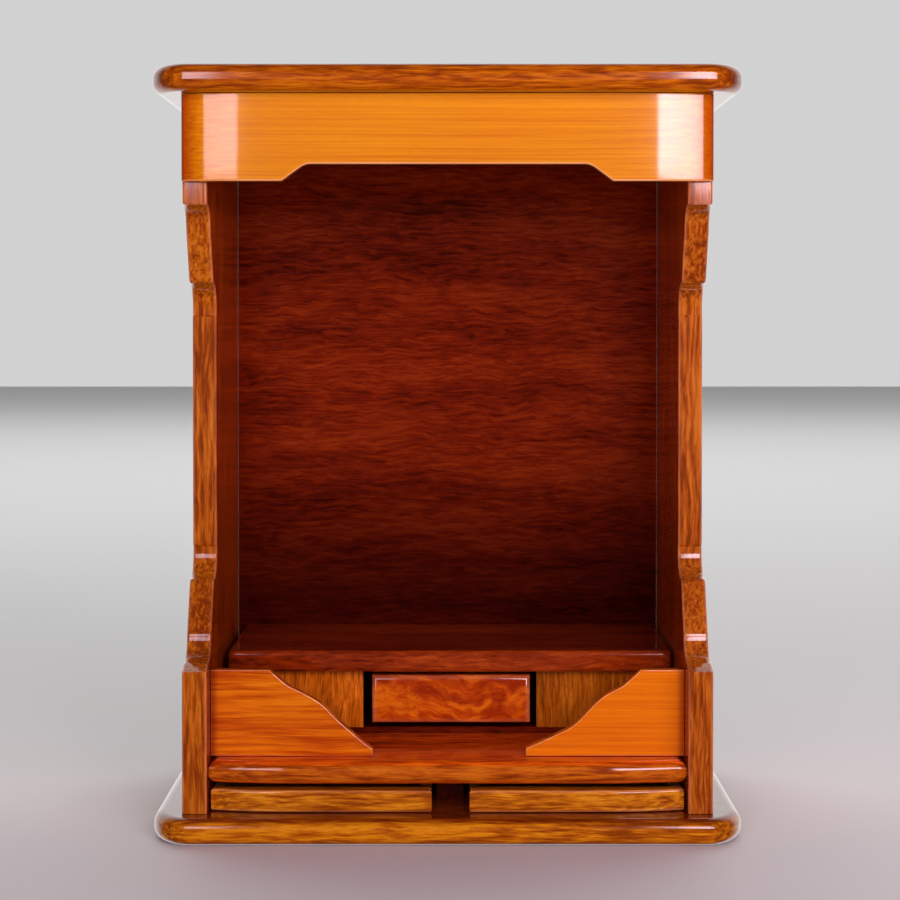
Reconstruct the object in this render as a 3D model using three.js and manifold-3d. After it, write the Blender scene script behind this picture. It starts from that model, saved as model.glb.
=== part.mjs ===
// Household altar cabinet: an open-fronted wooden niche on a base with two shallow drawers.
// A low step with a drawer of its own stands inside, behind two scroll-cut fence boards.
//
// Millimetres. +X is the viewer's right, -Y the front, +Z up, with the origin under the middle of
// the base board. Depths written as "front" or "back" count from the front of the base board.

import * as THREE from "three";
import { mergeVertices } from "three/addons/utils/BufferGeometryUtils.js";
import Module from "manifold-3d";

const wasm = await Module();
wasm.setup();

// ---- Driving dimensions ---------------------------------------------------------------------

const WIDTH = 470; // over the top and base boards
const DEPTH = 320;
const HEIGHT = 614;
const TOP_BOARD = 21.5; // thickness
const BASE_BOARD = 21.2;
const STOCK = 20; // thickness of the side panels
const BOARD_CORNER = [32, 45]; // rounding of the boards' front corners, along X and along Y
const BOARD_NOSE = 9; // radius of their rounded edge
const JOINT = 0.3; // line left at a glued or resting joint
const ARRIS = 2.5; // radius worn onto the edge of every show board

const CARCASS_HALF = 211; // from the middle to the outside of a side panel
const INNER_HALF = CARCASS_HALF - STOCK;
const CARCASS_BOTTOM = BASE_BOARD + JOINT;
const CARCASS_TOP = HEIGHT - TOP_BOARD - JOINT;

// The front edge of a side panel, from the post at the bottom to the block under the fascia.
const POST_FRONT = 21.6;
const POST_TOP = 134.4;
const SCROLL_FRONT = 34; // where both scrolls begin, at the ledge of the post and at the block
const LOWER_SCROLL = 139.5; // height at which the lower scroll leaves the post
const UPPER_SCROLL = 505; // height at which the upper scroll leaves the block
const BLOCK_FRONT = 35;
const WAIST_FRONT = 107; // front of the straight stretch at half height
const WAIST_FROM = 227.2;
const WAIST_TO = 415.4;
const QUIRK = 2; // small step where a scroll meets the waist
const COVE_DEPTH = 27; // first hollow of a scroll: how far back, and how far along
const COVE_RISE = 20.5;
const SHOULDER_BACK = 51; // end of the scroll's long slope, from its start
const SHOULDER_RISE = 62;

const BACK_FRONT = 305;
const BACK_THICKNESS = 9;

const FASCIA_FRONT = 20;
const FASCIA_THICKNESS = 14;
const FASCIA_BOTTOM = 523;
const FASCIA_RISE = 13.4; // how far the middle of its lower edge is cut up
const FASCIA_CUT_HALF = 112.6; // half length of the raised stretch
const FASCIA_SLANT = 18.4; // run of the slant at each end of it
const FASCIA_ROUND = [47, 11]; // rounding of its ends in plan, along X and along Y

const FLOOR_FRONT = 23;
const FLOOR_TOP = 62;
const FLOOR_THICKNESS = 17.9;
const FLOOR_SWEEP = [65, 8]; // how its front falls back at each end, along X and along Y
const FLOOR_NOSE = 8;

const FENCE_FRONT = 49.5;
const FENCE_THICKNESS = 11;
const FENCE_TOP = 132;
// Upper edge of each fence board, from its tip to its shoulder: distance from the middle, height.
const FENCES = {
  left: [
    [60, 68], [67, 73], [80, 84], [90, 93],
    [101, 104], [114, 112], [128, 119], [140.7, 129.5],
  ],
  right: [
    [63, 68.6], [74, 73.4], [88, 80], [102, 87.6],
    [119, 104.7], [128, 112], [141, 119], [153, 129.5],
  ],
};

// Shallow drawers in the base: where each one's front runs from and to.
const BASE_DRAWERS = {
  left: [-188.9, -12.6],
  right: [17.6, 188.8],
};
const BASE_DRAWER_FRONT = 26;
const BASE_DRAWER_BACK = 285;
const BASE_DRAWER_BOTTOM = 21.7;
const BASE_DRAWER_TOP = 39.2;
const BASE_DRAWER_FACE = 16; // thickness of its front
const BASE_DRAWER_SWEEP = [60, 8]; // how it falls back at the end beside the post
const RAIL_HALF = 11; // half width of the rail between them
const RAIL_FRONT = 78;

// The step stands loose in the niche, a little off the middle.
const STEP_SHIFT = 2;
const STEP_HALF = 187;
const STEP_TOP = 134.8;
const STEP_BOARD = 18;
const STEP_FRONT = 135;
const STEP_CORNER = [8, 8];
const STEP_NOSE = 4;
const STEP_BACK = BACK_FRONT - 1;
const STEP_SOLE = 5.2; // thickness of its bottom board, which is set back and stays in shadow
const STEP_SOLE_FRONT = 154;
const STEP_PANEL_FRONT = 150;
const STEP_PANEL_THICKNESS = 10;
const STEP_OPENING_HALF = 73.5;
const STEP_END_INSET = 6; // from the end of the step's board to the outside of its end panel
const STEP_DRAWER_SHIFT = 3;
const STEP_DRAWER_HALF = 66.8;
const STEP_DRAWER_FRONT = 140;
const STEP_DRAWER_BACK = 285;
const STEP_DRAWER_BOTTOM = 73;
const STEP_DRAWER_TOP = 113.6;
const STEP_DRAWER_FACE = 14; // thickness of its front
const STEP_DRAWER_PILLOW = 5; // radius of the soft edges of its front

const CASE_WALL = 8; // sides and back of a drawer
const CASE_BOTTOM = 4;
const RUNNING = 0.4; // gap under a drawer

const CURVE_STEPS = 8; // segments in a quarter round
const SPARE = 20; // how far a rounded board runs on before it is sawn square

// ---- Woods ----------------------------------------------------------------------------------

const WOODS = {
  amber: { color: 0xd9791a, roughness: 0.3 }, // fascia and fences
  brown: { color: 0xa85a14, roughness: 0.3 }, // boards, sides and drawer fronts
  red: { color: 0x8a3210, roughness: 0.35 }, // back, floor and step
  tan: { color: 0x96621c, roughness: 0.45 }, // panels beside the step's drawer
  raw: { color: 0xb07a3c, roughness: 0.7 }, // unvarnished insides of the drawers
};

const cabinet = new THREE.Group();

function add(name, wood, geometry) {
  const material = new THREE.MeshStandardMaterial({ ...WOODS[wood], metalness: 0 });
  const mesh = new THREE.Mesh(geometry, material);
  mesh.name = name;
  cabinet.add(mesh);
}

// ---- Joinery --------------------------------------------------------------------------------

// Y of a depth that is measured from the front of the boards.
const behind = (depth) => depth - DEPTH / 2;

const X_AXIS = new THREE.Vector3(1, 0, 0);
const Y_AXIS = new THREE.Vector3(0, 1, 0);
const Z_AXIS = new THREE.Vector3(0, 0, 1);
const FRONTWARDS = new THREE.Vector3(0, -1, 0);

// How an outline's two coordinates and its thickness lie in the cabinet, by the axis across it.
const LAYOUTS = {
  x: new THREE.Matrix4().makeBasis(Y_AXIS, Z_AXIS, X_AXIS), // outline is (y, z)
  y: new THREE.Matrix4().makeBasis(X_AXIS, Z_AXIS, FRONTWARDS), // outline is (x, z)
  z: new THREE.Matrix4().makeBasis(X_AXIS, Y_AXIS, Z_AXIS), // outline is (x, y)
};

// A board with the outline given, between two planes across an axis, with rounded arrises.
function board(outline, axis, low, high, arris = 0, steps = 2) {
  const geometry = new THREE.ExtrudeGeometry(outline, {
    depth: high - low - 2 * arris,
    curveSegments: CURVE_STEPS,
    bevelEnabled: arris > 0,
    bevelThickness: arris,
    bevelSize: arris,
    bevelOffset: -arris,
    bevelSegments: steps,
  });
  geometry.translate(0, 0, arris);
  geometry.applyMatrix4(LAYOUTS[axis]);
  const start = { x: [low, 0, 0], y: [0, high, 0], z: [0, 0, low] }[axis];
  return geometry.translate(...start);
}

// A plain square-edged board between two opposite corners.
function block([x0, y0, z0], [x1, y1, z1]) {
  const geometry = new THREE.BoxGeometry(x1 - x0, y1 - y0, z1 - z0);
  return geometry.translate((x0 + x1) / 2, (y0 + y1) / 2, (z0 + z1) / 2);
}

function solidOf(geometry) {
  const bare = new THREE.BufferGeometry();
  bare.setAttribute("position", geometry.getAttribute("position"));
  bare.setIndex(geometry.getIndex());
  const merged = mergeVertices(bare, 1e-3);
  return new wasm.Manifold(
    new wasm.Mesh({
      numProp: 3,
      vertProperties: merged.getAttribute("position").array,
      triVerts: new Uint32Array(merged.getIndex().array),
    }),
  );
}

function geometryOf(solid) {
  const { vertProperties, triVerts } = solid.getMesh();
  const geometry = new THREE.BufferGeometry();
  geometry.setAttribute("position", new THREE.BufferAttribute(vertProperties, 3));
  geometry.setIndex(new THREE.BufferAttribute(triVerts, 1));
  return geometry;
}

// What two shapes have in common: a moulded board sawn square, or rounded in plan.
function shared(first, second) {
  return geometryOf(solidOf(first).intersect(solidOf(second)));
}

// Plan of a board whose front corners are quarter ellipses of the radii given.
function roundedFront(x0, x1, front, back, [rx, ry]) {
  const outline = new THREE.Shape();
  outline.moveTo(x1, back);
  outline.lineTo(x0, back);
  outline.absellipse(x0 + rx, front + ry, rx, ry, Math.PI, 1.5 * Math.PI);
  outline.absellipse(x1 - rx, front + ry, rx, ry, 1.5 * Math.PI, 2 * Math.PI);
  outline.closePath();
  return outline;
}

// Plan of a board whose front sweeps back towards its ends, each by a run and a depth.
function sweptFront(x0, x1, front, back, [leftRun, leftDepth], [rightRun, rightDepth]) {
  const outline = new THREE.Shape();
  outline.moveTo(x1, back);
  outline.lineTo(x0, back);
  outline.lineTo(x0, front + leftDepth);
  outline.quadraticCurveTo(x0 + leftRun / 2, front, x0 + leftRun, front);
  outline.lineTo(x1 - rightRun, front);
  outline.quadraticCurveTo(x1 - rightRun / 2, front, x1, front + rightDepth);
  outline.closePath();
  return outline;
}

function rectangle(x0, x1, y0, y1) {
  const corners = [[x0, y0], [x1, y0], [x1, y1], [x0, y1]];
  return new THREE.Shape(corners.map(([x, y]) => new THREE.Vector2(x, y)));
}

// A board lying flat, with a rounded nose along its front and ends. Its plan runs past the depth
// `back`, where it is sawn square.
function nosedBoard(plan, back, bottom, top, nose) {
  const moulded = board(plan, "z", bottom, top, nose, 4);
  const room = block([-WIDTH, -DEPTH, bottom - 1], [WIDTH, behind(back), top + 1]);
  return shared(moulded, room);
}

// ---- Carcass --------------------------------------------------------------------------------

function addBoards() {
  const end = WIDTH / 2;
  const plan = roundedFront(-end, end, behind(0), behind(DEPTH + SPARE), BOARD_CORNER);
  add("base_board", "brown", nosedBoard(plan, DEPTH, 0, BASE_BOARD, BOARD_NOSE));
  add("top_board", "brown", nosedBoard(plan, DEPTH, HEIGHT - TOP_BOARD, HEIGHT, BOARD_NOSE));
}

// One scroll of a side panel's front edge, as depth and rise from where it leaves the post or
// block: a hollow, a long slope, a rounded shoulder and a second hollow up to the waist.
function scrollEdge() {
  const edge = new THREE.Path();
  const waist = WAIST_FRONT + QUIRK - SCROLL_FRONT;
  const shoulder = SHOULDER_BACK - 6;
  edge.moveTo(0, 0);
  edge.absellipse(0, COVE_RISE, COVE_DEPTH, COVE_RISE, -Math.PI / 2, 0);
  edge.lineTo(shoulder, SHOULDER_RISE - 7);
  edge.quadraticCurveTo(SHOULDER_BACK - 3, SHOULDER_RISE, SHOULDER_BACK, SHOULDER_RISE);
  edge.absellipse(
    SHOULDER_BACK,
    SHOULDER_RISE + COVE_RISE,
    waist - SHOULDER_BACK,
    COVE_RISE,
    -Math.PI / 2,
    0,
  );
  return edge.getPoints(CURVE_STEPS);
}

// Outline of a side panel as (y, z), longer than the panel at the back, the foot and the head.
function sideOutline() {
  const scroll = scrollEdge();
  const lower = scroll.map(({ x, y }) => [SCROLL_FRONT + x, LOWER_SCROLL + y]);
  const upper = scroll.map(({ x, y }) => [SCROLL_FRONT + x, UPPER_SCROLL - y]);
  const edge = [
    [DEPTH + SPARE, CARCASS_BOTTOM - SPARE],
    [DEPTH + SPARE, CARCASS_TOP + SPARE],
    [BLOCK_FRONT, CARCASS_TOP + SPARE],
    [BLOCK_FRONT, UPPER_SCROLL],
    ...upper.slice(1),
    [WAIST_FRONT + QUIRK, WAIST_TO + QUIRK],
    [WAIST_FRONT, WAIST_TO],
    [WAIST_FRONT, WAIST_FROM],
    [WAIST_FRONT + QUIRK, WAIST_FROM - QUIRK],
    ...lower.reverse(),
    [POST_FRONT, POST_TOP],
    [POST_FRONT, CARCASS_BOTTOM - SPARE],
  ];
  return new THREE.Shape(edge.map(([depth, z]) => new THREE.Vector2(behind(depth), z)));
}

function addSides() {
  const outline = sideOutline();
  for (const [name, inside, outside] of [
    ["left_side_panel", -INNER_HALF, -CARCASS_HALF],
    ["right_side_panel", INNER_HALF, CARCASS_HALF],
  ]) {
    const low = Math.min(inside, outside);
    const high = Math.max(inside, outside);
    const room = block(
      [low - 1, behind(0), CARCASS_BOTTOM],
      [high + 1, behind(DEPTH), CARCASS_TOP],
    );
    add(name, "brown", shared(board(outline, "x", low, high, ARRIS), room));
  }
}

function addBack() {
  const half = INNER_HALF - JOINT;
  add(
    "back_panel",
    "red",
    block(
      [-half, behind(BACK_FRONT), CARCASS_BOTTOM],
      [half, behind(BACK_FRONT + BACK_THICKNESS), CARCASS_TOP],
    ),
  );
}

// The header board: cut up in the middle of its lower edge and rounded back at both ends.
function addFascia() {
  const cut = FASCIA_BOTTOM + FASCIA_RISE;
  const slantEnd = FASCIA_CUT_HALF + FASCIA_SLANT;
  const soften = 5; // run of the rounding where the raised stretch turns down
  const elevation = new THREE.Shape();
  elevation.moveTo(-CARCASS_HALF, CARCASS_TOP);
  elevation.lineTo(-CARCASS_HALF, FASCIA_BOTTOM);
  elevation.lineTo(-slantEnd, FASCIA_BOTTOM);
  elevation.lineTo(-FASCIA_CUT_HALF - soften, cut - soften);
  elevation.quadraticCurveTo(-FASCIA_CUT_HALF, cut, soften - FASCIA_CUT_HALF, cut);
  elevation.lineTo(FASCIA_CUT_HALF - soften, cut);
  elevation.quadraticCurveTo(FASCIA_CUT_HALF, cut, FASCIA_CUT_HALF + soften, cut - soften);
  elevation.lineTo(slantEnd, FASCIA_BOTTOM);
  elevation.lineTo(CARCASS_HALF, FASCIA_BOTTOM);
  elevation.lineTo(CARCASS_HALF, CARCASS_TOP);
  elevation.closePath();

  const front = behind(FASCIA_FRONT);
  const back = behind(FASCIA_FRONT + FASCIA_THICKNESS);
  const plan = roundedFront(-CARCASS_HALF, CARCASS_HALF, front, back, FASCIA_ROUND);
  const flat = board(elevation, "y", front, back);
  const curved = board(plan, "z", FASCIA_BOTTOM - 1, CARCASS_TOP + 1);
  add("fascia", "amber", shared(flat, curved));
}

function addFloor() {
  const end = INNER_HALF - JOINT;
  const back = BACK_FRONT - JOINT;
  const bottom = FLOOR_TOP - FLOOR_THICKNESS;
  const plan = sweptFront(
    -end,
    end,
    behind(FLOOR_FRONT),
    behind(back + SPARE),
    FLOOR_SWEEP,
    FLOOR_SWEEP,
  );
  add("floor_board", "red", nosedBoard(plan, back, bottom, FLOOR_TOP, FLOOR_NOSE));
  add(
    "base_rail",
    "red",
    block(
      [STEP_SHIFT - RAIL_HALF, behind(RAIL_FRONT), CARCASS_BOTTOM],
      [STEP_SHIFT + RAIL_HALF, behind(back), bottom - JOINT],
    ),
  );
}

// The scroll-cut boards that stand on the floor's edge, one from each side panel.
function addFences() {
  const foot = FLOOR_TOP + JOINT;
  const end = INNER_HALF - JOINT;
  for (const [side, sign] of [["left", -1], ["right", 1]]) {
    const points = FENCES[side].map(([x, z]) => new THREE.Vector2(sign * x, z));
    const edge = new THREE.SplineCurve(points).getPoints(3 * points.length);
    const outline = new THREE.Shape([
      ...edge,
      new THREE.Vector2(sign * (FENCES[side].at(-1)[0] + 2.5), FENCE_TOP),
      new THREE.Vector2(sign * end, FENCE_TOP),
      new THREE.Vector2(sign * end, foot),
      new THREE.Vector2(edge[0].x, foot),
    ]);
    const front = behind(FENCE_FRONT);
    add(`${side}_fence`, "amber", board(outline, "y", front, front + FENCE_THICKNESS, 1, 1));
  }
}

// ---- Drawers --------------------------------------------------------------------------------

// The four plain pieces of a drawer behind its face: two sides, a back and a bottom.
function addCase(name, x0, x1, front, back, bottom, top) {
  const y0 = behind(front) + JOINT;
  const y1 = behind(back);
  const sideTop = top - 3;
  const tray = bottom + CASE_BOTTOM;
  const wall = (from, to, start, end) =>
    block([from, start, tray + JOINT], [to, end, sideTop]);
  add(`${name}_bottom`, "raw", block([x0, y0, bottom], [x1, y1, tray]));
  add(`${name}_left_side`, "raw", wall(x0, x0 + CASE_WALL, y0, y1));
  add(`${name}_right_side`, "raw", wall(x1 - CASE_WALL, x1, y0, y1));
  const inset = CASE_WALL + JOINT;
  add(`${name}_back`, "raw", wall(x0 + inset, x1 - inset, y1 - CASE_WALL, y1));
}

function addBaseDrawers() {
  for (const [side, [x0, x1]] of Object.entries(BASE_DRAWERS)) {
    const name = `${side}_base_drawer`;
    const front = behind(BASE_DRAWER_FRONT);
    const sweeps = [BASE_DRAWER_SWEEP, [0, 0]];
    if (side === "right") sweeps.reverse();
    const back = front + BASE_DRAWER_FACE;
    const plan = sweptFront(x0, x1, front, back + SPARE, ...sweeps);
    const moulded = board(plan, "z", BASE_DRAWER_BOTTOM, BASE_DRAWER_TOP, ARRIS);
    const room = block([x0 - 1, front - 1, 0], [x1 + 1, back, FLOOR_TOP]);
    add(`${name}_front`, "brown", shared(moulded, room));
    addCase(
      name,
      x0 + RUNNING,
      x1 - RUNNING,
      BASE_DRAWER_FRONT + BASE_DRAWER_FACE,
      BASE_DRAWER_BACK,
      BASE_DRAWER_BOTTOM,
      BASE_DRAWER_TOP,
    );
  }
}

function addStepDrawer() {
  const x0 = STEP_DRAWER_SHIFT - STEP_DRAWER_HALF;
  const x1 = STEP_DRAWER_SHIFT + STEP_DRAWER_HALF;
  const front = behind(STEP_DRAWER_FRONT);
  const back = front + STEP_DRAWER_FACE;
  const face = rectangle(x0, x1, STEP_DRAWER_BOTTOM, STEP_DRAWER_TOP);
  const pillow = board(face, "y", front, back + SPARE, STEP_DRAWER_PILLOW, 3);
  const room = block([x0 - 1, front - 1, 0], [x1 + 1, back, STEP_TOP]);
  add("step_drawer_front", "red", shared(pillow, room));
  addCase(
    "step_drawer",
    x0 + 2,
    x1 - 2,
    STEP_DRAWER_FRONT + STEP_DRAWER_FACE,
    STEP_DRAWER_BACK,
    STEP_DRAWER_BOTTOM,
    STEP_DRAWER_TOP,
  );
}

// ---- Step -----------------------------------------------------------------------------------

function addStep() {
  const underBoard = STEP_TOP - STEP_BOARD;
  const sole = FLOOR_TOP + JOINT;
  const soleTop = sole + STEP_SOLE;
  const endOutside = STEP_HALF - STEP_END_INSET;
  const endInside = endOutside - STEP_PANEL_THICKNESS;
  const back = behind(STEP_BACK);
  const shift = STEP_SHIFT;
  const plan = roundedFront(
    shift - STEP_HALF,
    shift + STEP_HALF,
    behind(STEP_FRONT),
    behind(STEP_BACK + SPARE),
    STEP_CORNER,
  );
  add("step_top", "red", nosedBoard(plan, STEP_BACK, underBoard, STEP_TOP, STEP_NOSE));
  add(
    "step_sole",
    "red",
    block([shift - endOutside, behind(STEP_SOLE_FRONT), sole], [shift + endOutside, back, soleTop]),
  );
  const low = soleTop + JOINT;
  const high = underBoard - JOINT;
  const panelFront = behind(STEP_PANEL_FRONT);
  const panelBack = panelFront + STEP_PANEL_THICKNESS;
  for (const [side, sign] of [["left", -1], ["right", 1]]) {
    const span = (from, to) => [shift + sign * from, shift + sign * to].sort((a, b) => a - b);
    const [front0, front1] = span(STEP_OPENING_HALF, endOutside);
    const [end0, end1] = span(endInside, endOutside);
    const panel = block([front0, panelFront, low], [front1, panelBack, high]);
    const end = block([end0, panelBack + JOINT, low], [end1, back, high]);
    add(`step_${side}_panel`, "tan", panel);
    add(`step_${side}_end`, "tan", end);
  }
}

addBoards();
addSides();
addBack();
addFascia();
addFloor();
addFences();
addBaseDrawers();
addStep();
addStepDrawer();

export default cabinet;
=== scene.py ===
"""The household altar cabinet in its varnish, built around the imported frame.

Lengths are in metres. -Y is the front, +X the viewer's right, +Z up.
"""

import math
from typing import NamedTuple

import bmesh
import bpy
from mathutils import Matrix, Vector


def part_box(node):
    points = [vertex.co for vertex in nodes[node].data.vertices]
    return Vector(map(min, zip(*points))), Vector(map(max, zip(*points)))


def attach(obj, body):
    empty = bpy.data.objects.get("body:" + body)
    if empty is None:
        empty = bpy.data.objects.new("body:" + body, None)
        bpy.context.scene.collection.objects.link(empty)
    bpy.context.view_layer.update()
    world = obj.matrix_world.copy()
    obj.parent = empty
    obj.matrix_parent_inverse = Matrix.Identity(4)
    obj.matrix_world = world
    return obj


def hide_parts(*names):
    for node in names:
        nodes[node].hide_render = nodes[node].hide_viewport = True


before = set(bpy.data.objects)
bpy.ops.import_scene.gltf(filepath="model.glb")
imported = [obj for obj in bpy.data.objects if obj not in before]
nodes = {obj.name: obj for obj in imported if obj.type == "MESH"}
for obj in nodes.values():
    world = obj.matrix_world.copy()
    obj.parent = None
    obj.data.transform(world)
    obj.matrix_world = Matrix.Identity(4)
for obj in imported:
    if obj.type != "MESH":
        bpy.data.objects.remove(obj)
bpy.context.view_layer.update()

MM = 0.001

# ---- Camera, light and floor ----------------------------------------------------------------

FRAME_PIXELS = 900  # side of the square picture
EYE_DISTANCE = 1.8  # from the lens to the front edge of the boards
EYE_HEIGHT = 0.41495
FOCAL_PIXELS = 2306
EYE_PITCH = math.radians(1.2)  # looking down
HORIZON_ABOVE_MIDDLE = 132  # pixels
EYE_RIGHT_OF_MIDDLE = 2.5  # pixels from the vanishing point to the middle of the picture
SENSOR_WIDTH = 36  # millimetres, as Blender takes it

ROSY = (1, 0.8, 0.91)
SOFTBOX_Y = -1.96
SOFTBOX_SPREAD = math.radians(120)
SOFTBOX_HEIGHTS = (0.625, 1.5)  # foot and head of the two that the varnish mirrors
LEFT_SOFTBOX = (-1.09, -0.37, *SOFTBOX_HEIGHTS)
RIGHT_SOFTBOX = (0.375, 1.85, *SOFTBOX_HEIGHTS)
FRONT_FILL = (-0.6, 0.6, 0.1, 0.9)
LEFT_WATTS = 4.1
RIGHT_WATTS = 18.5
FILL_WATTS = 8.0
WASH_PLACE = (0, 4.2, 3.2)
WASH_SIZE = (9.0, 6.0)
WASH_WATTS = 170.0

ROOM_SPAN = (0.25, 0.8)  # share of a direction that points backwards, dim to bright
ROOM_STRENGTH = (0.03, 1.4)
BACKDROP_STRENGTH = 0.8  # what the camera sees behind the floor
FLOOR_HALF = 12.0
FLOOR_COLOUR = (0.8, 0.795, 0.79, 1)
FLOOR_ROUGHNESS = 0.75


def add_camera():
    camera = bpy.data.objects.new("camera", bpy.data.cameras.new("camera"))
    bpy.context.scene.collection.objects.link(camera)
    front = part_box("base_board")[0].y
    camera.location = (0, front - EYE_DISTANCE, EYE_HEIGHT)
    camera.rotation_euler = (math.pi / 2 - EYE_PITCH, 0, 0)
    lens = camera.data
    lens.sensor_width = SENSOR_WIDTH
    lens.lens = lens.sensor_width * FOCAL_PIXELS / FRAME_PIXELS
    pitched = FOCAL_PIXELS * math.tan(EYE_PITCH)
    lens.shift_y = -(HORIZON_ABOVE_MIDDLE - pitched) / FRAME_PIXELS
    lens.shift_x = EYE_RIGHT_OF_MIDDLE / FRAME_PIXELS
    bpy.context.scene.camera = camera


def add_area_light(name, place, size, watts, mirrored):
    """A soft rectangular light that faces down and isn't seen by the camera."""
    light = bpy.data.lights.new(name, "AREA")
    light.shape = "RECTANGLE"
    light.size, light.size_y = size
    light.energy = watts
    box = bpy.data.objects.new(name, light)
    bpy.context.scene.collection.objects.link(box)
    box.location = place
    box.visible_camera = False
    box.visible_glossy = mirrored
    return box


def add_softbox(name, x0, x1, z0, z1, watts, mirrored=True):
    """An upright soft light beside the camera, which faces back."""
    place = ((x0 + x1) / 2, SOFTBOX_Y, (z0 + z1) / 2)
    box = add_area_light(name, place, (x1 - x0, z1 - z0), watts, mirrored)
    box.rotation_euler = (math.pi / 2, 0, 0)
    box.data.spread = SOFTBOX_SPREAD
    box.data.color = ROSY


def add_lights():
    add_softbox("left_softbox", *LEFT_SOFTBOX, LEFT_WATTS)
    add_softbox("right_softbox", *RIGHT_SOFTBOX, RIGHT_WATTS)
    add_softbox("front_fill", *FRONT_FILL, FILL_WATTS, mirrored=False)
    # The wash hangs behind the cabinet and keeps the studio floor pale.
    add_area_light("floor_wash", WASH_PLACE, WASH_SIZE, WASH_WATTS, mirrored=False)


def add_world():
    """A pale room behind the cabinet and a dim one in front of it."""
    world = bpy.data.worlds.new("studio")
    bpy.context.scene.world = world
    world.use_nodes = True
    tree = world.node_tree
    tree.nodes.clear()
    direction = put(tree, "ShaderNodeTexCoord").outputs["Generated"]
    backwards = put(tree, "ShaderNodeSeparateXYZ", Vector=direction).outputs["Y"]
    room = mapped(tree, backwards, ROOM_SPAN, ROOM_STRENGTH, smooth=True)
    seen = put(tree, "ShaderNodeLightPath").outputs["Is Camera Ray"]
    strength = put(tree, "ShaderNodeMix", {"data_type": "FLOAT"})
    connect(tree, strength, {"Factor": seen, "A": room, "B": BACKDROP_STRENGTH})
    background = put(tree, "ShaderNodeBackground", Strength=strength.outputs["Result"])
    output = put(tree, "ShaderNodeOutputWorld")
    tree.links.new(background.outputs["Background"], output.inputs["Surface"])


def add_floor():
    half = FLOOR_HALF
    mesh = bpy.data.meshes.new("studio_floor")
    corners = [(-half, -half, 0), (half, -half, 0), (half, half, 0), (-half, half, 0)]
    mesh.from_pydata(corners, [], [(0, 1, 2, 3)])
    floor = bpy.data.objects.new("studio_floor", mesh)
    bpy.context.scene.collection.objects.link(floor)
    material = bpy.data.materials.new("studio_floor")
    material.use_nodes = True
    shader = material.node_tree.nodes["Principled BSDF"]
    shader.inputs["Base Color"].default_value = FLOOR_COLOUR
    shader.inputs["Roughness"].default_value = FLOOR_ROUGHNESS
    mesh.materials.append(material)
    floor.visible_glossy = False  # the varnish mirrors the dim room in front instead


# ---- Node helpers ---------------------------------------------------------------------------


def connect(tree, node, inputs):
    """Sets a node's enabled inputs by name: a socket is linked, anything else is a value."""
    for name, value in inputs.items():
        socket = next(s for s in node.inputs if s.name == name and s.enabled)
        if isinstance(value, bpy.types.NodeSocket):
            tree.links.new(value, socket)
        else:
            socket.default_value = value


def put(tree, kind, settings=None, **inputs):
    node = tree.nodes.new(kind)
    for name, value in (settings or {}).items():
        setattr(node, name, value)
    connect(tree, node, inputs)
    return node


def srgb(red, green, blue):
    """A colour given as 0 to 255 in sRGB, as the linear colour that shaders take."""
    shares = [level / 255 for level in (red, green, blue)]
    linear = [((v + 0.055) / 1.055) ** 2.4 if v > 0.04 else v / 12.92 for v in shares]
    return (*linear, 1.0)


# ---- Woods ----------------------------------------------------------------------------------

WEAR_AND_SHEEN = "arris_wear_and_sheen"  # vertex attribute, from 0 on sound varnish to 1 on a worn arris that carries a painted highlight

# Each wood: its colours from dark streak to light, the length and width of its streaks and
# fibres in millimetres, how far the grain wanders, and how strongly the streaks, the fibres, the
# broad patches and the pores show.
WOODS = {
    "amber": {
        "colours": [srgb(214, 100, 6), srgb(232, 124, 8), srgb(244, 146, 18)],
        "streak": (120, 1.0),
        "fibre": (60, 0.6),
        "wander": (300, 0.7),
        "contrast": (0.34, 0.2, 0.05),
        "pores": 0.12,
    },
    "russet": {
        "colours": [srgb(176, 60, 4), srgb(208, 90, 7), srgb(228, 116, 16)],
        "streak": (40, 1.7),
        "fibre": (22, 0.6),
        "wander": (110, 2.0),
        "contrast": (0.5, 0.3, 0.4),
        "pores": 0.12,
    },
    "brown": {
        "colours": [srgb(132, 52, 4), srgb(176, 84, 12), srgb(210, 118, 26)],
        "streak": (17, 1.4),
        "fibre": (9, 0.6),
        "wander": (60, 1.6),
        "contrast": (0.6, 0.3, 0.25),
        "pores": 0.25,
    },
    "red": {
        "colours": [srgb(60, 8, 2), srgb(124, 32, 6), srgb(160, 56, 14)],
        "streak": (13, 1.6),
        "fibre": (10, 0.7),
        "wander": (34, 2.6),
        "contrast": (0.26, 0.14, 0.2),
        "pores": 0.12,
    },
    "cherry": {
        "colours": [srgb(146, 36, 4), srgb(180, 60, 7), srgb(214, 94, 18)],
        "streak": (20, 4.0),
        "fibre": (12, 0.9),
        "wander": (40, 9.0),
        "contrast": (0.6, 0.2, 0.5),
        "pores": 0.1,
    },
    "tan": {
        "colours": [srgb(112, 58, 8), srgb(160, 88, 16), srgb(192, 120, 32)],
        "streak": (22, 1.4),
        "fibre": (14, 0.6),
        "wander": (60, 3.0),
        "contrast": (0.4, 0.25, 0.15),
        "pores": 0.35,
    },
    "raw": {
        "colours": [srgb(170, 122, 68), srgb(196, 150, 92), srgb(214, 172, 116)],
        "streak": (60, 2.2),
        "fibre": (30, 0.8),
        "wander": (160, 3.0),
        "contrast": (0.3, 0.2, 0.2),
        "pores": 0.1,
    },
}
PATCH = (90, 16)  # length and width of the broad patches
PALE_WEAR_AND_SHEEN = srgb(246, 178, 124)  # pale colour of a worn arris, which is also a painted highlight standing in for the lamps' glint on it
NOISE_SCALE = 0.5
NOISE_ROUGHNESS = 0.55
NOISE_GAIN = 4  # noise keeps close to its middle, so what it drives is scaled up by this
TONE_STOPS = (0.1, 0.5, 0.9)  # where a wood's three colours lie from dark to light

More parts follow.
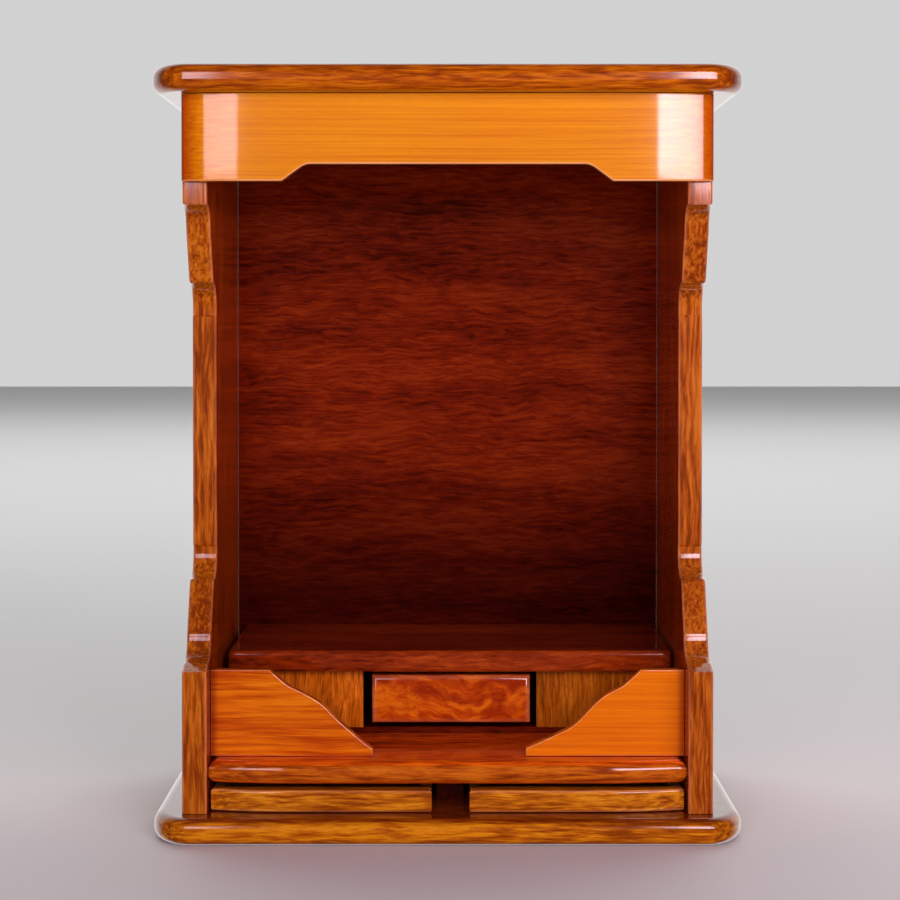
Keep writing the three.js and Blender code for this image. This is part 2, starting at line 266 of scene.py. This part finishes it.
PORE = (4, 0.3)  # length and width of the pores, in millimetres
PORE_ONSET = (0.58, 0.7)  # noise at which a pore begins and is full
PORE_SHADE = 0.35  # how dark a pore is beside the wood's darkest colour
PORE_SINK = 2.0  # how deep it is beside the fibres

FACING = (0.5, 0.95)  # how squarely a face must lie along an axis to count as turned
WEAR_AND_SHEEN_PATCHES = (0.3, 0.6)  # noise at which an arris is least and most pale: worn, with a painted highlight
LEAST_WEAR_AND_SHEEN = 0.4  # share of the pale wear and painted highlight that is left where it is least

GRAIN_BUMP = (0.25, 0.15 * MM)  # strength and depth
STREAK_SPAN = (0.3, 0.7)  # noise in a dark streak and in a light one
WOOD_ROUGHNESS = (0.5, 0.38)  # in the dark streaks and in the light ones
BARE_SPECULAR = 0.3
SKIN = (30, 13)  # length and width of the varnish's slow waves, in millimetres
SKIN_BUMP = (0.35, 0.4 * MM)
COAT_ROUGHNESS = 0.085
COAT_IOR = 1.8


class Finish(NamedTuple):
    """How one board is finished."""

    kind: str
    grain: str = "X"  # axis that its fibres follow
    seed: float = 0.0
    gloss: float = 1.0
    tint: tuple = (1, 1, 1)  # scales the wood's colours
    turned: tuple = ()  # an axis, and what scales the colours where the board faces along it: painted light and shade, and on end grain its darker tone
    painted_shade: tuple = ()  # painted shade: an axis, two distances along it and what scales the colours at the first
    wear_and_sheen: float = 0.4  # how pale its arrises are: worn varnish and a painted highlight


# Turns that lay the local X axis of a wood along its grain.
GRAIN_TURNS = {"X": (0, 0, 0), "Y": (0, 0, math.pi / 2), "Z": (0, math.pi / 2, 0)}


def math_node(tree, operation, first, second=0.0):
    node = put(tree, "ShaderNodeMath", {"operation": operation})
    for socket, value in zip(node.inputs, (first, second)):
        if isinstance(value, bpy.types.NodeSocket):
            tree.links.new(value, socket)
        else:
            socket.default_value = value
    return node.outputs["Value"]


def mapped(tree, value, source, target, smooth=False):
    """A value stretched from one range to another and held inside it."""
    kind = "SMOOTHSTEP" if smooth else "LINEAR"
    ranges = {"From Min": source[0], "From Max": source[1], "To Min": target[0], "To Max": target[1]}
    node = put(tree, "ShaderNodeMapRange", {"interpolation_type": kind}, Value=value, **ranges)
    return node.outputs["Result"]


def mixed(tree, factor, first, second, blend="MIX"):
    """Two colours mixed; each is a socket or a constant."""
    node = put(tree, "ShaderNodeMix", {"data_type": "RGBA", "blend_type": blend})
    connect(tree, node, {"Factor": factor, "A": first, "B": second})
    return node.outputs["Result"]


def stretched(tree, place, length, width, detail=3.0):
    """Noise whose marks are about length by width, in millimetres, along the local X axis."""
    scale = (1 / (length * MM), 1 / (width * MM), 1 / (width * MM))
    marks = put(tree, "ShaderNodeVectorMath", {"operation": "MULTIPLY"})
    tree.links.new(place, marks.inputs[0])
    marks.inputs[1].default_value = scale
    field = put(
        tree,
        "ShaderNodeTexNoise",
        Vector=marks.outputs["Vector"],
        Scale=NOISE_SCALE,
        Detail=detail,
        Roughness=NOISE_ROUGHNESS,
    )
    return field.outputs["Fac"]


def wandering(tree, place, reach, sway):
    """The place moved sideways, so that the grain wanders as it runs."""
    wave = put(tree, "ShaderNodeTexNoise", Vector=place, Scale=1 / (reach * MM), Detail=2.0)
    moved = put(tree, "ShaderNodeVectorMath", {"operation": "MULTIPLY_ADD"})
    tree.links.new(wave.outputs["Color"], moved.inputs[0])
    reach_sideways = NOISE_GAIN * sway * MM
    moved.inputs[1].default_value = (0, reach_sideways, reach_sideways)
    tree.links.new(place, moved.inputs[2])
    return moved.outputs["Vector"]


def bumped(tree, height, strength, distance):
    """A normal raised by a height field."""
    bump = put(tree, "ShaderNodeBump", Height=height, Strength=strength, Distance=distance)
    return bump.outputs["Normal"]


def wood(name, finish):
    """The material of one board: a stained and figured wood under its varnish."""
    look = WOODS[finish.kind]
    colours = [[c * t for c, t in zip(colour, finish.tint)] + [1.0] for colour in look["colours"]]
    material = bpy.data.materials.new(name)
    material.use_nodes = True
    tree = material.node_tree
    shader = tree.nodes["Principled BSDF"]
    spot = put(tree, "ShaderNodeTexCoord").outputs
    local = put(
        tree,
        "ShaderNodeMapping",
        Vector=spot["Object"],
        Location=(finish.seed * 1.7, finish.seed * 0.83, finish.seed * 1.31),
        Rotation=GRAIN_TURNS[finish.grain],
    ).outputs["Vector"]
    place = wandering(tree, local, *look["wander"])

    streaks = stretched(tree, place, *look["streak"])
    fibres = stretched(tree, place, *look["fibre"], detail=2.0)
    patches = stretched(tree, place, *PATCH, detail=1.0)
    tone = 0.5
    for layer, weight in zip((streaks, fibres, patches), look["contrast"]):
        centred = math_node(tree, "SUBTRACT", layer, 0.5)
        part = math_node(tree, "MULTIPLY", centred, NOISE_GAIN * weight)
        tone = math_node(tree, "ADD", part, tone)
    ramp = put(tree, "ShaderNodeValToRGB", Fac=tone)
    stops = ramp.color_ramp.elements
    stops.new(0.5)
    for stop, position, colour in zip(stops, TONE_STOPS, colours):
        stop.position = position
        stop.color = colour
    colour = ramp.outputs["Color"]

    # Pores are short dark dashes, sunk a little under the varnish.
    dashes = stretched(tree, place, *PORE, detail=1.0)
    pores = mapped(tree, dashes, PORE_ONSET, (0, look["pores"]))
    dark = [PORE_SHADE * c for c in colours[0][:3]] + [1.0]
    colour = mixed(tree, pores, colour, dark)
    # Colours scaled by facing: painted light and shade, and the darker tone of end grain.
    if finish.turned:
        axis, scale = finish.turned
        parts = put(tree, "ShaderNodeSeparateXYZ", Vector=spot["Normal"]).outputs
        along = math_node(tree, "ABSOLUTE", parts[axis])
        facing = mapped(tree, along, FACING, (0, 1), smooth=True)
        colour = mixed(tree, facing, colour, (*scale, 1.0), "MULTIPLY")
    # Painted shade, fading out along an axis.
    if finish.painted_shade:
        axis, near, far, scale = finish.painted_shade
        parts = put(tree, "ShaderNodeSeparateXYZ", Vector=spot["Object"]).outputs
        out = math_node(tree, "ABSOLUTE", parts[axis])
        amount = mapped(tree, out, (near, far), (1, 0), smooth=True)
        colour = mixed(tree, amount, colour, (*scale, 1.0), "MULTIPLY")
    # Pale arrises: worn varnish and a painted highlight, in one colour.
    if finish.wear_and_sheen:
        arris_wear_and_sheen = put(tree, "ShaderNodeAttribute", {"attribute_name": WEAR_AND_SHEEN}).outputs["Fac"]
        range_of_wear_and_sheen = (LEAST_WEAR_AND_SHEEN * finish.wear_and_sheen, finish.wear_and_sheen)
        patchy = mapped(tree, patches, WEAR_AND_SHEEN_PATCHES, range_of_wear_and_sheen)
        colour = mixed(tree, math_node(tree, "MULTIPLY", arris_wear_and_sheen, patchy), colour, PALE_WEAR_AND_SHEEN)
    tree.links.new(colour, shader.inputs["Base Color"])

    relief = math_node(tree, "SUBTRACT", fibres, math_node(tree, "MULTIPLY", pores, PORE_SINK))
    tree.links.new(bumped(tree, relief, *GRAIN_BUMP), shader.inputs["Normal"])
    roughness = mapped(tree, streaks, STREAK_SPAN, WOOD_ROUGHNESS)
    tree.links.new(roughness, shader.inputs["Roughness"])
    shader.inputs["Specular IOR Level"].default_value = 0.0 if finish.gloss else BARE_SPECULAR
    if finish.gloss:
        level = stretched(tree, place, *SKIN, detail=1.0)
        tree.links.new(bumped(tree, level, *SKIN_BUMP), shader.inputs["Coat Normal"])
        shader.inputs["Coat Weight"].default_value = finish.gloss
        shader.inputs["Coat Roughness"].default_value = COAT_ROUGHNESS
        shader.inputs["Coat IOR"].default_value = COAT_IOR
    return material


# What scales a board's colours where it faces along an axis: painted light and shade, and the darker
# tone of end grain.
# Painted light and shade: the side panels' broad faces are recoloured redder than their front edges,
# as they look inside the niche.
SIDE_FACE = ("X", (1.4, 0.85, 0.45))
# Painted shade: the floor board's top faces are recoloured redder than its nose.
RED_TOP = ("Z", (1.7, 1.05, 0.95))
SHADED_TOP = ("Z", (0.45, 0.25, 0.3))  # painted shade on the base board's top faces, meant for the strip in front of the drawers
# Darker end grain, together with painted shade where the rounded ends turn away from the light.
END_GRAIN_AND_SHADE = ("X", (0.62, 0.42, 0.6))
# Painted shade, scaling the colours by distance along an axis: in full at the first distance,
# not at all from the second on.
# Painted shadow of the side panels' posts on the ends of the fences beside them.
PAINTED_CORNER_SHADE = ("X", 0.191, 0.183, (0.55, 0.3, 0.3))
# Painted shade on the fascia's far ends, where they turn away from the light.
FASCIA_ENDS = ("X", 0.210, 0.191, (0.68, 0.3, 1))
# Painted shade: the back panel darkens towards its foot.
BACK_FOOT = ("Z", 0.15, 0.33, (0.25, 0.2, 0.4))

FINISHES = {
    "top_board": Finish("brown", "X", 3.1, tint=(0.88, 0.86, 0.2), turned=END_GRAIN_AND_SHADE, wear_and_sheen=0),
    "base_board": Finish("brown", "X", 7.7, tint=(1.13, 1.45, 0.37), turned=SHADED_TOP, wear_and_sheen=0),
    "left_side_panel": Finish("brown", "Z", 1.3, tint=(0.89, 0.9, 0.72), turned=SIDE_FACE),
    "right_side_panel": Finish("brown", "Z", 5.9, tint=(0.86, 0.83, 1.02), turned=SIDE_FACE),
    "back_panel": Finish("red", "X", 0.7, 0.15, tint=(0.72, 0.69, 0.7), painted_shade=BACK_FOOT),
    "fascia": Finish(
        "amber",
        "X",
        2.2,
        tint=(0.88, 1.18, 0.2),
        turned=END_GRAIN_AND_SHADE,
        painted_shade=FASCIA_ENDS,
        wear_and_sheen=0.9,
    ),
    "floor_board": Finish("brown", "X", 9.4, tint=(0.98, 0.86, 0.47), turned=RED_TOP, wear_and_sheen=0),
    # Painted shade: the base rail's colours are darkened to a fifth, so the finger gap looks
    # shadowed.
    "base_rail": Finish("red", "Y", 3.0, 0.6, (0.2, 0.2, 0.5)),
    "left_fence": Finish("russet", "X", 4.4, tint=(1.01, 1.21, 0.42), painted_shade=PAINTED_CORNER_SHADE),
    "right_fence": Finish("amber", "X", 6.1, tint=(0.98, 0.91, 0.32), painted_shade=PAINTED_CORNER_SHADE),
    "step_top": Finish("red", "X", 1.9, tint=(1.33, 1.93, 1.6), wear_and_sheen=0),
    "step_sole": Finish("red", "X", 5.3, 0.6, (0.5, 0.5, 0.5)),
    "step_left_panel": Finish("tan", "Z", 7.6, 0.5, tint=(1.59, 1.29, 1.07)),
    "step_right_panel": Finish("tan", "Z", 9.9, 0.5, tint=(0.96, 0.81, 0.62)),
    "step_left_end": Finish("tan", "Y", 12.2, 0.5),
    "step_right_end": Finish("tan", "Y", 14.5, 0.5),
    "step_drawer_front": Finish("cherry", "X", 3.7, tint=(1.08, 1.35, 0.36), wear_and_sheen=0.25),
    "left_base_drawer_front": Finish("brown", "X", 8.3, tint=(1.2, 1.62, 0.86)),
    "right_base_drawer_front": Finish("brown", "X", 2.9, tint=(1.2, 1.62, 0.91)),
}


# ---- Shapes ---------------------------------------------------------------------------------

SHARP_ANGLE = math.radians(35)
SAME_POINT = 1e-6
CUT_TOLERANCE = 1e-7


def arc(centre, radii, start, stop, steps):
    """Points along an ellipse's arc. Angles are in degrees, both ends included."""
    turns = [math.radians(start + (stop - start) * i / steps) for i in range(steps + 1)]
    return [
        Vector((centre[0] + radii[0] * math.cos(t), centre[1] + radii[1] * math.sin(t)))
        for t in turns
    ]


def inset(ring, amount):
    """An anticlockwise ring moved inwards, square to its sides."""
    moved = []
    for i, point in enumerate(ring):
        before = (point - ring[i - 1]).normalized()
        after = (ring[(i + 1) % len(ring)] - point).normalized()
        inward = Vector((-before.y - after.y, before.x + after.x))
        moved.append(point + inward * amount / (1 + before.dot(after)))
    return moved


def standing(point, axis, level):
    """A flat point as it lies in the cabinet, on the plane at that level across an axis."""
    a, b = point
    return {"X": (level, a, b), "Y": (a, level, b), "Z": (a, b, level)}[axis]


def loft(rings, arris_wear_and_sheen=None):
    """A closed mesh through rings of equally many points, with a flat cap at each end.

    arris_wear_and_sheen(i, j) says how pale point j of ring i is, from 0 to 1: worn varnish with a
    painted highlight.
    """
    bm = bmesh.new()
    wear_and_sheen = bm.verts.layers.float.new(WEAR_AND_SHEEN)
    layers = [[bm.verts.new(point) for point in ring] for ring in rings]
    if arris_wear_and_sheen:
        for i, layer in enumerate(layers):
            for j, vertex in enumerate(layer):
                vertex[wear_and_sheen] = arris_wear_and_sheen(i, j)
    count = len(layers[0])
    for lower, upper in zip(layers, layers[1:]):
        for i in range(count):
            j = (i + 1) % count
            bm.faces.new((lower[i], lower[j], upper[j], upper[i]))
    bm.faces.new(list(reversed(layers[0])))
    bm.faces.new(layers[-1])
    bmesh.ops.recalc_face_normals(bm, faces=bm.faces)
    return bm


def plank(ring, axis, low, high, arris, steps=5, wear_and_sheen=True):
    """A board with an anticlockwise outline between two planes, its edges rounded over."""
    turns = [math.pi / 2 * i / steps for i in range(steps + 1)]
    insets = [arris * (1 - math.sin(turn)) for turn in turns]
    heights = [arris * (1 - math.cos(turn)) for turn in turns]
    levels = [(by, low + up) for by, up in zip(insets, heights)]
    levels += [(by, high - up) for by, up in zip(insets[::-1], heights[::-1])]
    # How pale each level of the arris is: worn varnish and a painted highlight.
    arris_wear_and_sheen = [math.sin(2 * turn) ** 3 for turn in turns + turns[::-1]]
    return loft(
        [[standing(p, axis, at) for p in inset(ring, by)] for by, at in levels],
        (lambda i, j: arris_wear_and_sheen[i]) if wear_and_sheen else None,
    )


def saw(bm, point, outwards):
    """Cuts off what lies beyond a plane and closes the cut."""
    geometry = bm.verts[:] + bm.edges[:] + bm.faces[:]
    cut = bmesh.ops.bisect_plane(
        bm,
        geom=geometry,
        dist=CUT_TOLERANCE,
        plane_co=point,
        plane_no=outwards,
        clear_outer=True,
    )
    edges = [e for e in cut["geom_cut"] if isinstance(e, bmesh.types.BMEdge)]
    bmesh.ops.contextual_create(bm, geom=edges)
    bmesh.ops.recalc_face_normals(bm, faces=bm.faces)
    return bm


def finish_mesh(bm, node, body="cabinet"):
    """Turns the mesh into the piece that stands for a CAD node and rides on its body."""
    bmesh.ops.remove_doubles(bm, verts=bm.verts, dist=SAME_POINT)
    name = node + "_varnished"
    mesh = bpy.data.meshes.new(name)
    bm.to_mesh(mesh)
    bm.free()
    mesh.shade_smooth()
    mesh.set_sharp_from_angle(angle=SHARP_ANGLE)
    mesh.materials.append(wood(name, FINISHES[node]))
    piece = bpy.data.objects.new(name, mesh)
    bpy.context.scene.collection.objects.link(piece)
    weigh_normals(piece)
    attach(piece, body)
    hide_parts(node)
    return piece


def weigh_normals(piece):
    """Keeps flat faces flat where they run into a rounded arris."""
    weighted = piece.modifiers.new("flat_faces", "WEIGHTED_NORMAL")
    weighted.keep_sharp = True


def rounded_plan(low, high, back, radii, steps=14):
    """Anticlockwise plan of a board whose two front corners are quarter ellipses."""
    rx, ry = radii
    return (
        arc((low.x + rx, low.y + ry), radii, 180, 270, steps)
        + arc((high.x - rx, low.y + ry), radii, 270, 360, steps)
        + [Vector((high.x, back)), Vector((low.x, back))]
    )


def swept_plan(low, high, back, left, right, steps=14):
    """Anticlockwise plan of a board whose front falls back at its ends, by a run and a depth."""
    plan = []
    for end, sign, (run, depth) in ((low.x, 1, left), (high.x, -1, right)):
        if run:
            ts = [i / steps for i in range(steps + 1)]
            side = [Vector((end + sign * run * t, low.y + depth * (1 - t) ** 2)) for t in ts]
        else:
            side = [Vector((end, low.y))]
        plan += side[::sign]
    return plan + [Vector((high.x, back)), Vector((low.x, back))]


def nosed_board(low, high, plan, nose):
    """A board lying flat, its nose rounded along the front and ends and sawn square behind."""
    bm = plank(plan, "Z", low.z, high.z, nose, steps=10, wear_and_sheen=False)
    return saw(bm, (0, high.y, 0), (0, 1, 0))


# ---- Pieces ---------------------------------------------------------------------------------

BOARD_CORNER = (32 * MM, 45 * MM)  # radii of the front corners, along X and along Y
BOARD_NOSE = 9 * MM
ARRIS = 2.5 * MM
SPARE = 20 * MM  # how far a rounded board runs on before it is sawn square

SCROLL_START = 34 * MM  # depths and heights of the side panels' scroll-cut edge
LOWER_SCROLL = 139.5 * MM
UPPER_SCROLL = 505 * MM
POST_TOP = 134.4 * MM
BLOCK_FRONT = 35 * MM
WAIST = (107 * MM, 227.2 * MM, 415.4 * MM)  # depth, foot and head of the straight stretch
QUIRK = 2 * MM
COVE = (27 * MM, 20.5 * MM)
SHOULDER = (51 * MM, 62 * MM)
SHOULDER_SOFT = (6 * MM, 7 * MM)  # how far before the shoulder its rounding starts


def add_boards():
    for node in ("top_board", "base_board"):
        low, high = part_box(node)
        plan = rounded_plan(low, high, high.y + SPARE, BOARD_CORNER)
        bm = nosed_board(low, high, plan, BOARD_NOSE)
        finish_mesh(bm, node)


def scroll_edge(steps=12):
    """One scroll, as depth and rise from where it leaves the post or the block."""
    waist = WAIST[0] + QUIRK - SCROLL_START
    back, rise = SHOULDER
    edge = arc((0, COVE[1]), COVE, -90, 0, steps)
    soft_run, soft_rise = SHOULDER_SOFT
    start = Vector((back - soft_run, rise - soft_rise))
    bend = Vector((back - soft_run / 2, rise))
    stop = Vector((back, rise))
    for i in range(steps + 1):
        t = i / steps
        edge.append(start * (1 - t) ** 2 + bend * 2 * t * (1 - t) + stop * t**2)
    edge += arc((back, rise + COVE[1]), (waist - back, COVE[1]), -90, 0, steps)[1:]
    return edge


def side_ring(front, spare, low, high):
    """Anticlockwise outline (y, z) of a side panel, longer than it at back, foot and head."""
    scroll = scroll_edge()
    lower = [(SCROLL_START + p.x, LOWER_SCROLL + p.y) for p in scroll]
    upper = [(SCROLL_START + p.x, UPPER_SCROLL - p.y) for p in scroll]
    depth, waist_from, waist_to = WAIST
    edge = (
        [(BLOCK_FRONT, high.z + spare), (BLOCK_FRONT, UPPER_SCROLL)]
        + upper[1:]
        + [(depth + QUIRK, waist_to + QUIRK), (depth, waist_to)]
        + [(depth, waist_from), (depth + QUIRK, waist_from - QUIRK)]
        + lower[::-1]
        + [(low.y - front, POST_TOP), (low.y - front, low.z - spare)]
        + [(high.y - front + spare, low.z - spare), (high.y - front + spare, high.z + spare)]
    )
    return [Vector((front + y, z)) for y, z in edge]


def add_sides():
    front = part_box("base_board")[0].y
    for node in ("left_side_panel", "right_side_panel"):
        low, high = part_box(node)
        ring = side_ring(front, 2 * ARRIS, low, high)
        bm = plank(ring, "X", low.x, high.x, ARRIS)
        saw(bm, (0, high.y, 0), (0, 1, 0))
        saw(bm, (0, 0, low.z), (0, 0, -1))
        saw(bm, (0, 0, high.z), (0, 0, 1))
        finish_mesh(bm, node)


FASCIA_CUT_HALF = 112.6 * MM
FASCIA_SLANT = 18.4 * MM
FASCIA_RISE = 13.4 * MM
FASCIA_ROUND = (47 * MM, 11 * MM)
FASCIA_ARRIS = 1.6 * MM
FASCIA_SOFT = 4 * MM  # how far its softened turns reach, each way
FASCIA_STEPS = (20, 4, 16)  # cross-sections over its straight half, half a turn and its round end
FASCIA_ARC_STEPS = 6


def fascia_bottom(x, low):
    """Height of the fascia's lower edge: raised in the middle, with softened turns."""
    soft = FASCIA_SOFT
    beyond = abs(x) - FASCIA_CUT_HALF
    fall = FASCIA_RISE * min(max(beyond / FASCIA_SLANT, 0), 1)
    if abs(beyond) < soft:
        fall = FASCIA_RISE / FASCIA_SLANT * (beyond + soft) ** 2 / (4 * soft)
    return low.z + FASCIA_RISE - fall


def add_fascia():
    low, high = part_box("fascia")
    straight = high.x - FASCIA_ROUND[0]
    level_steps, turn_steps, round_steps = FASCIA_STEPS
    xs = [straight * i / level_steps for i in range(level_steps + 1)]
    for i in range(-turn_steps, turn_steps + 1):
        xs.append(FASCIA_CUT_HALF + FASCIA_SOFT * i / turn_steps)
    xs.append(FASCIA_CUT_HALF + FASCIA_SLANT)
    for i in range(1, round_steps + 1):
        xs.append(straight + FASCIA_ROUND[0] * math.sin(math.pi / 2 * i / round_steps))
    stations = sorted(set(round(x, 6) for x in xs + [-x for x in xs]))
    rings = []
    for x in stations:
        run = min(max(abs(x) - straight, 0) / FASCIA_ROUND[0], 1)
        front = low.y + FASCIA_ROUND[1] * (1 - math.sqrt(max(1 - run**2, 0)))
        bottom = fascia_bottom(x, low)
        r = FASCIA_ARRIS
        section = [Vector((high.y, high.z)), Vector((front, high.z))]
        section += arc((front + r, bottom + r), (r, r), 180, 270, FASCIA_ARC_STEPS)
        section += arc((high.y - r, bottom + r), (r, r), 270, 360, 3)
        rings.append([(x, p.x, p.y) for p in section])
    first = 2  # the front arris's arc starts after two corners, and is worn and painted with a pale highlight inside its ends
    last = first + FASCIA_ARC_STEPS
    bm = loft(rings, lambda i, j: 1.0 if first < j < last else 0.0)
    finish_mesh(bm, "fascia")


FLOOR_SWEEP = (65 * MM, 8 * MM)  # how the front falls back at each end, along X and along Y
FLOOR_NOSE = 8 * MM


def add_floor_board():
    low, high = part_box("floor_board")
    plan = swept_plan(low, high, high.y + SPARE, FLOOR_SWEEP, FLOOR_SWEEP)
    bm = nosed_board(low, high, plan, FLOOR_NOSE)
    finish_mesh(bm, "floor_board")


FENCE_ARRIS = 1.2 * MM
FENCE_SHOULDER = 2.5 * MM  # run from the end of the scroll to the level top
FENCE_CURVE_STEPS = 6
# Upper edge of each fence board, from its tip to its shoulder, in millimetres: distance from the
# middle, height.
FENCES = {
    "left": [
        (60, 68), (67, 73), (80, 84), (90, 93),
        (101, 104), (114, 112), (128, 119), (140.7, 129.5),
    ],
    "right": [
        (63, 68.6), (74, 73.4), (88, 80), (102, 87.6),
        (119, 104.7), (128, 112), (141, 119), (153, 129.5),
    ],
}


def smooth_through(points, steps):
    """A Catmull-Rom curve through the points."""
    padded = [2 * points[0] - points[1]] + points + [2 * points[-1] - points[-2]]
    curve = []
    for a, b, c, d in zip(padded, padded[1:], padded[2:], padded[3:]):
        for i in range(steps):
            t = i / steps
            square = 2 * a - 5 * b + 4 * c - d
            cube = 3 * b - a - 3 * c + d
            curve.append(0.5 * (2 * b + (c - a) * t + square * t**2 + cube * t**3))
    return curve + [points[-1]]


def signed_area(ring):
    """Area of a flat ring, above zero where it runs anticlockwise."""
    return sum(a.x * b.y - b.x * a.y for a, b in zip(ring, ring[1:] + ring[:1])) / 2


def add_fences():
    for side, sign in (("left", -1), ("right", 1)):
        node = side + "_fence"
        low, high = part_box(node)
        points = [Vector((sign * x, z)) * MM for x, z in FENCES[side]]
        edge = smooth_through(points, FENCE_CURVE_STEPS)
        end = low.x if sign < 0 else high.x
        ring = edge + [
            Vector((edge[-1].x + sign * FENCE_SHOULDER, high.z)),
            Vector((end, high.z)),
            Vector((end, low.z)),
            Vector((edge[0].x, low.z)),
        ]
        if signed_area(ring) < 0:
            ring.reverse()
        bm = plank(ring, "Y", low.y, high.y, FENCE_ARRIS)
        finish_mesh(bm, node)


DRAWER_SWEEP = (60 * MM, 8 * MM)  # how a base drawer's front falls back beside the post
SQUARE = (0, 0)
PILLOW = 5 * MM  # radius of the soft edges of the step drawer's front


def add_base_drawer_fronts():
    for side in ("left", "right"):
        node = side + "_base_drawer_front"
        low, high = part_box(node)
        sweeps = [DRAWER_SWEEP, SQUARE] if side == "left" else [SQUARE, DRAWER_SWEEP]
        plan = swept_plan(low, high, high.y + SPARE, *sweeps)
        bm = saw(plank(plan, "Z", low.z, high.z, ARRIS), (0, high.y, 0), (0, 1, 0))
        finish_mesh(bm, node, side + "_base_drawer")


def add_step_drawer_front():
    node = "step_drawer_front"
    low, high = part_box(node)
    corners = [(low.x, low.z), (high.x, low.z), (high.x, high.z), (low.x, high.z)]
    ring = [Vector(corner) for corner in corners]
    bm = plank(ring, "Y", low.y, high.y + 2 * PILLOW, PILLOW, steps=8)
    saw(bm, (0, high.y, 0), (0, 1, 0))
    finish_mesh(bm, node, "step_drawer")


STEP_CORNER = (8 * MM, 8 * MM)
STEP_NOSE = 4 * MM


def add_step_top():
    low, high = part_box("step_top")
    plan = rounded_plan(low, high, high.y + SPARE, STEP_CORNER)
    bm = nosed_board(low, high, plan, STEP_NOSE)
    finish_mesh(bm, "step_top")


# CAD nodes that keep their own shape.
KEPT = (
    "back_panel",
    "base_rail",
    "step_sole",
    "step_left_panel",
    "step_right_panel",
    "step_left_end",
    "step_right_end",
)
CASE_PARTS = ("bottom", "left_side", "right_side", "back")
DRAWERS = ("step_drawer", "left_base_drawer", "right_base_drawer")
KEPT_ARRIS = 0.5 * MM


def dress(node, material):
    """Gives a carried CAD node its wood and takes the sharpness off its edges."""
    piece = nodes[node]
    piece.data.materials.clear()
    piece.data.materials.append(material)
    edge = piece.modifiers.new("arris", "BEVEL")
    edge.width = KEPT_ARRIS
    edge.segments = 2
    edge.limit_method = "ANGLE"
    weigh_normals(piece)


def dress_kept_nodes():
    for node in KEPT:
        dress(node, wood(node, FINISHES[node]))
    for i, drawer in enumerate(DRAWERS):
        for part in CASE_PARTS:
            node = f"{drawer}_{part}"
            grain = "Y" if "side" in part else "X"
            dress(node, wood(node, Finish("raw", grain, 1.1 + 3.1 * i, gloss=0, wear_and_sheen=0)))


add_camera()
add_world()
add_lights()
add_floor()
add_boards()
add_sides()
add_fascia()
add_floor_board()
add_fences()
add_base_drawer_fronts()
add_step_drawer_front()
add_step_top()
dress_kept_nodes()
bpy.context.scene.view_settings.view_transform = "Standard"
